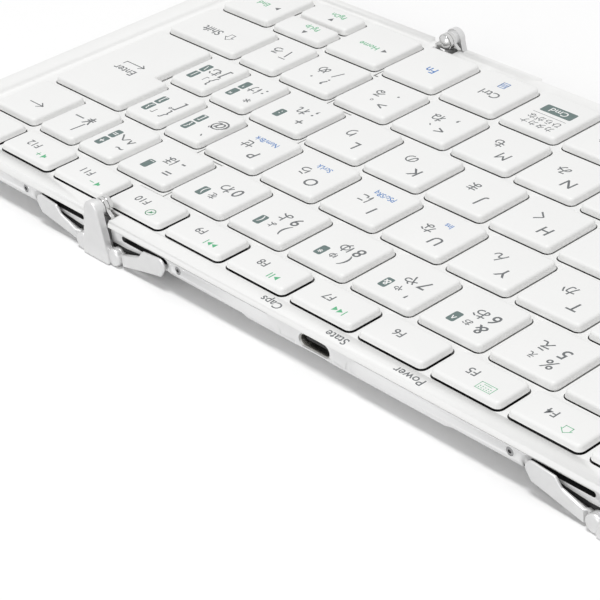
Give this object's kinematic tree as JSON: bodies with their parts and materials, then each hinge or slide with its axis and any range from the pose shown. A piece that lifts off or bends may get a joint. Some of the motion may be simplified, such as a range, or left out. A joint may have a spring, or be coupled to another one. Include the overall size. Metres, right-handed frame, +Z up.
{
  "type": "folding keyboard",
  "caption": "Slim three-panel folding keyboard with a zigzag seam, raised cast hinges that double as feet, folding legs in edge recesses and a charging socket in the rear edge.",
  "frame": {"origin": "on the desk, under the middle of the open keyboard, which is the middle of its middle panel", "axes": "+X toward the typist's right, +Y toward the rear edge with the function row, +Z up"},
  "size_m": [0.2894, 0.114, 0.0142],
  "materials": {
    "deck_white": "satin moulded",
    "key_white": "fine matt moulded",
    "shell_silver": "satin anodised, pale",
    "plate_steel": "plain sheet",
    "dome_rubber": "matt silicone",
    "hinge_metal": "satin cast",
    "pin_polished": "polished",
    "screw_steel": "plain",
    "board_green": "solder mask",
    "battery_foil": "matt foil",
    "socket_steel": "drawn sheet",
    "lamp_clear": "clear"
  },
  "bodies": {
    "middle_panel": {"middle_deck": "deck_white", "middle_shell": "shell_silver", "middle_switch_plate": "plate_steel", "middle_domes": "dome_rubber", "middle_hinge_ears": "hinge_metal", "middle_screws": "screw_steel", "main_board": "board_green", "battery": "battery_foil", "usb_socket": "socket_steel", "status_lamps": "lamp_clear"},
    "right_wing": {"right_deck": "deck_white", "right_shell": "shell_silver", "right_switch_plate": "plate_steel", "right_domes": "dome_rubber", "right_hinge_ears": "hinge_metal", "right_screws": "screw_steel"},
    "right_knuckles": {"right_rear_knuckle": "hinge_metal", "right_rear_pin": "pin_polished", "right_front_knuckle": "hinge_metal", "right_front_pin": "pin_polished"},
    "right_inner_legs": {"right_inner_rear_leg": "hinge_metal", "right_inner_front_leg": "hinge_metal"},
    "right_outer_legs": {"right_outer_rear_leg": "hinge_metal", "right_outer_front_leg": "hinge_metal"},
    "left_wing": {"left_deck": "deck_white", "left_shell": "shell_silver", "left_switch_plate": "plate_steel", "left_domes": "dome_rubber", "left_hinge_ears": "hinge_metal", "left_screws": "screw_steel"},
    "left_knuckles": {"left_rear_knuckle": "hinge_metal", "left_rear_pin": "pin_polished", "left_front_knuckle": "hinge_metal", "left_front_pin": "pin_polished"},
    "left_inner_legs": {"left_inner_rear_leg": "hinge_metal", "left_inner_front_leg": "hinge_metal"},
    "left_outer_legs": {"left_outer_rear_leg": "hinge_metal", "left_outer_front_leg": "hinge_metal"},
    "function_keys_middle": {"function_keys_middle": "key_white"},
    "function_keys_right": {"function_keys_right": "key_white"},
    "function_keys_left": {"function_keys_left": "key_white"},
    "number_keys_middle": {"number_keys_middle": "key_white"},
    "number_keys_right": {"number_keys_right": "key_white"},
    "number_keys_left": {"number_keys_left": "key_white"},
    "upper_keys_middle": {"upper_keys_middle": "key_white"},
    "upper_keys_right": {"upper_keys_right": "key_white"},
    "upper_keys_left": {"upper_keys_left": "key_white"},
    "home_keys_middle": {"home_keys_middle": "key_white"},
    "home_keys_right": {"home_keys_right": "key_white"},
    "home_keys_left": {"home_keys_left": "key_white"},
    "lower_keys_middle": {"lower_keys_middle": "key_white"},
    "lower_keys_right": {"lower_keys_right": "key_white"},
    "lower_keys_left": {"lower_keys_left": "key_white"},
    "bottom_keys_middle": {"bottom_keys_middle": "key_white"},
    "bottom_keys_right": {"bottom_keys_right": "key_white"},
    "bottom_keys_left": {"bottom_keys_left": "key_white"},
    "enter_key": {"enter_key": "key_white"},
    "space_bar": {"space_bar": "key_white"}
  },
  "joints": [
    {"name": "right_fold", "type": "hinge", "parent": "middle_panel", "child": "right_wing", "pos_m": [0.07349, 0, 0.0118], "axis": [0, -1, 0], "range_deg": [0, 180]},
    {"name": "right_knuckle_turn", "type": "hinge", "parent": "middle_panel", "child": "right_knuckles", "pos_m": [0.07349, 0, 0.0118], "axis": [0, -1, 0], "range_deg": [0, 90]},
    {"name": "right_inner_leg_turn", "type": "hinge", "parent": "right_knuckles", "child": "right_inner_legs", "pos_m": [0.06799, 0, 0.0021], "axis": [0, -1, 0], "range_deg": [-75.29, 0]},
    {"name": "right_outer_leg_turn", "type": "hinge", "parent": "right_knuckles", "child": "right_outer_legs", "pos_m": [0.07899, 0, 0.0021], "axis": [0, -1, 0], "range_deg": [0, 75.29]},
    {"name": "left_fold", "type": "hinge", "parent": "middle_panel", "child": "left_wing", "pos_m": [-0.07349, 0, 0.0118], "axis": [0, 1, 0], "range_deg": [0, 180]},
    {"name": "left_knuckle_turn", "type": "hinge", "parent": "middle_panel", "child": "left_knuckles", "pos_m": [-0.07349, 0, 0.0118], "axis": [0, 1, 0], "range_deg": [0, 90]},
    {"name": "left_inner_leg_turn", "type": "hinge", "parent": "left_knuckles", "child": "left_inner_legs", "pos_m": [-0.06799, 0, 0.0021], "axis": [0, 1, 0], "range_deg": [-75.29, 0]},
    {"name": "left_outer_leg_turn", "type": "hinge", "parent": "left_knuckles", "child": "left_outer_legs", "pos_m": [-0.07899, 0, 0.0021], "axis": [0, 1, 0], "range_deg": [0, 75.29]},
    {"name": "function_middle_press", "type": "slide", "parent": "middle_panel", "child": "function_keys_middle", "axis": [0, 0, -1], "range_m": [0, 0.0014], "stiffness_N_per_m": 150, "springref_m": -0.0012},
    {"name": "function_right_press", "type": "slide", "parent": "right_wing", "child": "function_keys_right", "axis": [0, 0, -1], "range_m": [0, 0.0014], "stiffness_N_per_m": 150, "springref_m": -0.0012},
    {"name": "function_left_press", "type": "slide", "parent": "left_wing", "child": "function_keys_left", "axis": [0, 0, -1], "range_m": [0, 0.0014], "stiffness_N_per_m": 150, "springref_m": -0.0012},
    {"name": "number_middle_press", "type": "slide", "parent": "middle_panel", "child": "number_keys_middle", "axis": [0, 0, -1], "range_m": [0, 0.0014], "stiffness_N_per_m": 150, "springref_m": -0.0012},
    {"name": "number_right_press", "type": "slide", "parent": "right_wing", "child": "number_keys_right", "axis": [0, 0, -1], "range_m": [0, 0.0014], "stiffness_N_per_m": 150, "springref_m": -0.0012},
    {"name": "number_left_press", "type": "slide", "parent": "left_wing", "child": "number_keys_left", "axis": [0, 0, -1], "range_m": [0, 0.0014], "stiffness_N_per_m": 150, "springref_m": -0.0012},
    {"name": "upper_middle_press", "type": "slide", "parent": "middle_panel", "child": "upper_keys_middle", "axis": [0, 0, -1], "range_m": [0, 0.0014], "stiffness_N_per_m": 150, "springref_m": -0.0012},
    {"name": "upper_right_press", "type": "slide", "parent": "right_wing", "child": "upper_keys_right", "axis": [0, 0, -1], "range_m": [0, 0.0014], "stiffness_N_per_m": 150, "springref_m": -0.0012},
    {"name": "upper_left_press", "type": "slide", "parent": "left_wing", "child": "upper_keys_left", "axis": [0, 0, -1], "range_m": [0, 0.0014], "stiffness_N_per_m": 150, "springref_m": -0.0012},
    {"name": "home_middle_press", "type": "slide", "parent": "middle_panel", "child": "home_keys_middle", "axis": [0, 0, -1], "range_m": [0, 0.0014], "stiffness_N_per_m": 150, "springref_m": -0.0012},
    {"name": "home_right_press", "type": "slide", "parent": "right_wing", "child": "home_keys_right", "axis": [0, 0, -1], "range_m": [0, 0.0014], "stiffness_N_per_m": 150, "springref_m": -0.0012},
    {"name": "home_left_press", "type": "slide", "parent": "left_wing", "child": "home_keys_left", "axis": [0, 0, -1], "range_m": [0, 0.0014], "stiffness_N_per_m": 150, "springref_m": -0.0012},
    {"name": "lower_middle_press", "type": "slide", "parent": "middle_panel", "child": "lower_keys_middle", "axis": [0, 0, -1], "range_m": [0, 0.0014], "stiffness_N_per_m": 150, "springref_m": -0.0012},
    {"name": "lower_right_press", "type": "slide", "parent": "right_wing", "child": "lower_keys_right", "axis": [0, 0, -1], "range_m": [0, 0.0014], "stiffness_N_per_m": 150, "springref_m": -0.0012},
    {"name": "lower_left_press", "type": "slide", "parent": "left_wing", "child": "lower_keys_left", "axis": [0, 0, -1], "range_m": [0, 0.0014], "stiffness_N_per_m": 150, "springref_m": -0.0012},
    {"name": "bottom_middle_press", "type": "slide", "parent": "middle_panel", "child": "bottom_keys_middle", "axis": [0, 0, -1], "range_m": [0, 0.0014], "stiffness_N_per_m": 150, "springref_m": -0.0012},
    {"name": "bottom_right_press", "type": "slide", "parent": "right_wing", "child": "bottom_keys_right", "axis": [0, 0, -1], "range_m": [0, 0.0014], "stiffness_N_per_m": 150, "springref_m": -0.0012},
    {"name": "bottom_left_press", "type": "slide", "parent": "left_wing", "child": "bottom_keys_left", "axis": [0, 0, -1], "range_m": [0, 0.0014], "stiffness_N_per_m": 150, "springref_m": -0.0012},
    {"name": "enter_key_press", "type": "slide", "parent": "right_wing", "child": "enter_key", "axis": [0, 0, -1], "range_m": [0, 0.0014], "stiffness_N_per_m": 150, "springref_m": -0.0012},
    {"name": "space_bar_press", "type": "slide", "parent": "middle_panel", "child": "space_bar", "axis": [0, 0, -1], "range_m": [0, 0.0014], "stiffness_N_per_m": 150, "springref_m": -0.0012}
  ],
  "couplings": [
    {"joint": "right_knuckle_turn", "follows": "right_fold", "ratio": 0.5},
    {"joint": "right_inner_leg_turn", "follows": "right_fold", "ratio": -0.41799},
    {"joint": "right_outer_leg_turn", "follows": "right_fold", "ratio": 0.41799},
    {"joint": "left_knuckle_turn", "follows": "left_fold", "ratio": 0.5},
    {"joint": "left_inner_leg_turn", "follows": "left_fold", "ratio": -0.41799},
    {"joint": "left_outer_leg_turn", "follows": "left_fold", "ratio": 0.41799}
  ]
}
